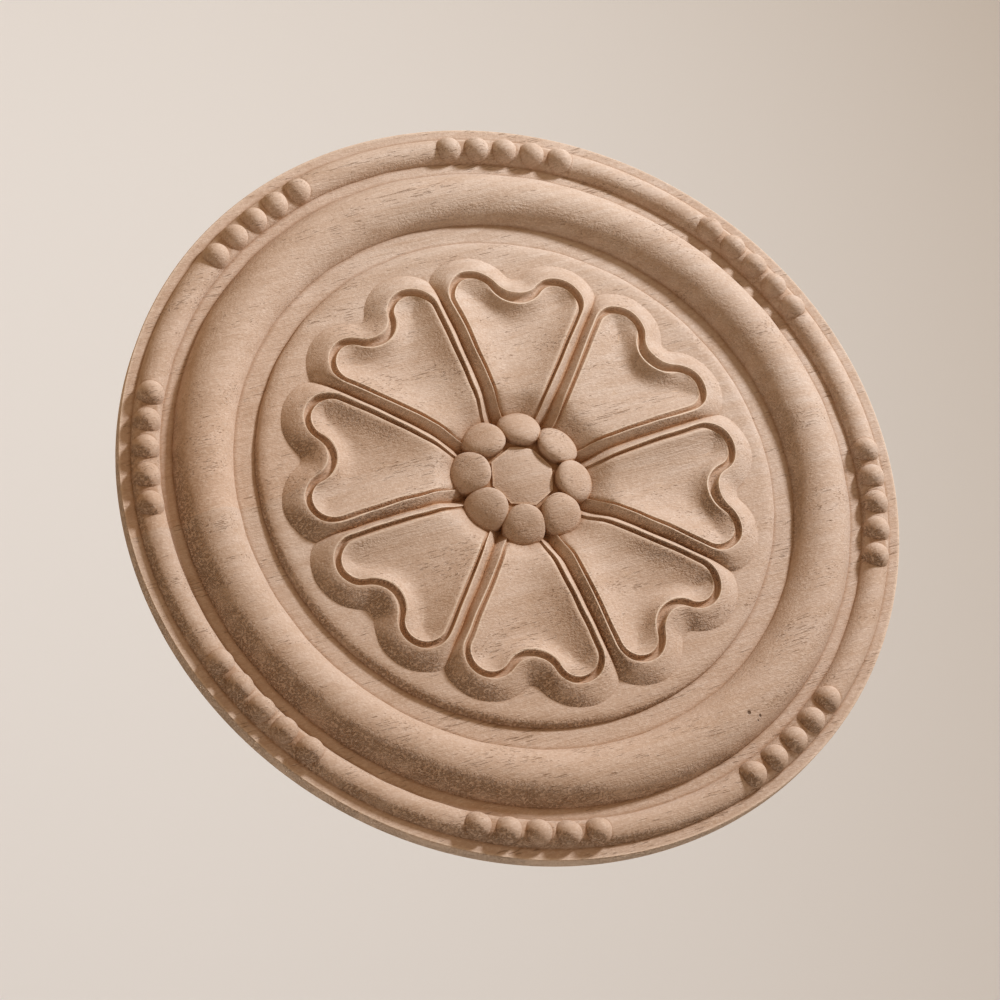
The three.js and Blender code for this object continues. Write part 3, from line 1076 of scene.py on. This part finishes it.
# %% Colour the grain
figure_brown = (0.49, 0.34, 0.235, 1)
cloud_brown = (0.44, 0.29, 0.19, 1)
fibre_brown = (0.46, 0.315, 0.21, 1)
speckle_pale = (0.84, 0.72, 0.61, 1)
end_on_brown = (0.48, 0.33, 0.215, 1)
middle_shade_brown = (0.36, 0.22, 0.13, 1)
pore_dark = (0.25, 0.14, 0.075, 1)
torn_and_shade_dark = (0.35, 0.19, 0.09, 1)
end_on_weight = 0.05
pore_weight = 0.5
torn_and_shade_weight = 0.42
colour = blend(ramp(figure, low=0.32, high=0.70, end=0.42), colour, figure_brown)
colour = blend(ramp(cloud, low=0.40, high=0.66, end=0.16), colour, cloud_brown)
colour = blend(ramp(fibre, low=0.35, high=0.72, end=0.36), colour, fibre_brown)
colour = blend(ramp(speckle, low=0.42, high=0.74, end=0.34), colour, speckle_pale)
colour = blend(times(end_on, end_on_weight), colour, end_on_brown)
# painted shade round the balls and the dome, with grime from handling: the middle is made darker
middle_shade_and_grime = times(ramp(from_middle, low=0.031, high=0.024, end=0.24), front)
colour = blend(middle_shade_and_grime, colour, middle_shade_brown)
colour = blend(times(pores, pore_weight), colour, pore_dark)
# dark specks on those slopes: tear-out and painted shade
colour = blend(times(torn_specks_and_shade, torn_and_shade_weight), colour, torn_and_shade_dark)
print("colour of the grain:", len(tree.nodes), "nodes so far")

# %% [markdown]
# ## Wear, dust and painted shade
#
# The three attributes that were measured on the points come in here. Shelter multiplies the colour as
# painted shade, the way light does that bounces between walls of wood, while edges are blended paler,
# in wear and painted highlight, and creases browner, in dust and painted shade.

# %% Colour wear, dust and painted shade
shelter_shade_tint = (0.84, 0.64, 0.45, 1)
worn_and_highlight_pale = (0.88, 0.74, 0.60, 1)
dust_and_shade_brown = (0.34, 0.19, 0.10, 1)
worn_and_highlight_weight = 0.65
dust_and_shade_weight = 0.45
worn_and_lit = add("ShaderNodeAttribute", attribute_name="worn_and_lit_edge").outputs["Fac"]
dusty_and_shaded = add("ShaderNodeAttribute", attribute_name="dusty_and_shaded_crease").outputs["Fac"]
shelter = add("ShaderNodeAttribute", attribute_name="sheltered").outputs["Fac"]
# painted shade and bounce light in sheltered places
colour = blend(ramp(shelter, low=0.06, high=0.48, end=0.85), colour, shelter_shade_tint, kind="MULTIPLY")
# edges blended paler: wear and painted highlight
colour = blend(times(worn_and_lit, worn_and_highlight_weight), colour, worn_and_highlight_pale)
# creases blended browner: dust and painted shade
colour = blend(times(dusty_and_shaded, dust_and_shade_weight), colour, dust_and_shade_brown)
print("wear and dust:", len(tree.nodes), "nodes so far")

# %% [markdown]
# ## Three small pits
#
# On the broad roll at the lower right are two small pits and a smaller one beside them. They are
# too small to cut into the mesh, so each is a dark spot of painted shade round a place, given by its
# x, its z and its radius in millimetres. The distance is measured flat, without depth, and only on the
# front.

# %% Dent the pits
pit_places = ((67.2, -76.4, 0.8), (71.2, -76.6, 0.6), (70.6, -78.0, 0.35))
pit_depth_place = -0.0065
pit_floor_share = 0.3
pit_weight = 0.8
pit_shade_dark = (0.10, 0.055, 0.03, 1)
flatten = (1.0, 0.0, 1.0)
pits = 0.0
for pit_x, pit_z, pit_radius in pit_places:
    pit_place = (pit_x * MM, pit_depth_place, pit_z * MM)
    from_pit = add("ShaderNodeVectorMath", {0: place, 1: pit_place}, operation="SUBTRACT")
    flat = add("ShaderNodeVectorMath", {0: from_pit.outputs[0], 1: flatten}, operation="MULTIPLY")
    distance = add("ShaderNodeVectorMath", {0: flat.outputs[0]}, operation="LENGTH").outputs["Value"]
    pits = maths("ADD", pits, ramp(distance, pit_radius * MM, pit_floor_share * pit_radius * MM))
pits = times(pits, front)
# painted shade in each pit
colour = blend(times(pits, pit_weight), colour, pit_shade_dark)
print("pits:", len(pit_places))

# %% [markdown]
# ## Relief and gloss
#
# Fibres, pores, torn specks and pits are hollows and ridges of a few tenths of a millimetre. Real
# displacement would need millions of facets for them, so the Bump node only tilts the surface for
# the light, and that is enough at this size. Raw wood is matt: it is rough and barely mirrors.

# %% Make the relief and the gloss
fibre_relief = 0.9
pore_relief = 0.6
torn_relief = 1.8
rough_relief = 1.1
pit_relief = 2.0
speckle_relief = 0.9
height = maths("SUBTRACT", times(fibre, fibre_relief), times(pores, pore_relief))
height = maths("SUBTRACT", height, times(torn_specks_and_shade, torn_relief))
height = maths("SUBTRACT", height, times(times(rough, shaded_down_left_slopes), rough_relief))
height = maths("SUBTRACT", height, times(pits, pit_relief))
height = maths("ADD", height, times(speckle, speckle_relief))
bump = add("ShaderNodeBump", {"Height": height, "Strength": 0.8, "Distance": 0.0003})
tree.links.new(colour, shader.inputs["Base Color"])
tree.links.new(ramp(figure, low=0.2, high=0.8, start=0.70, end=0.88), shader.inputs["Roughness"])
tree.links.new(bump.outputs[0], shader.inputs["Normal"])
shader.inputs["Specular IOR Level"].default_value = 0.25
carving.data.materials.clear()
carving.data.materials.append(wood)
print("wood:", len(tree.nodes), "nodes")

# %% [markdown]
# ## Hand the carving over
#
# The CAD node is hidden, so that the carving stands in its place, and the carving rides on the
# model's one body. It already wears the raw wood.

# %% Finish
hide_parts("rosette")
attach(carving, "root")
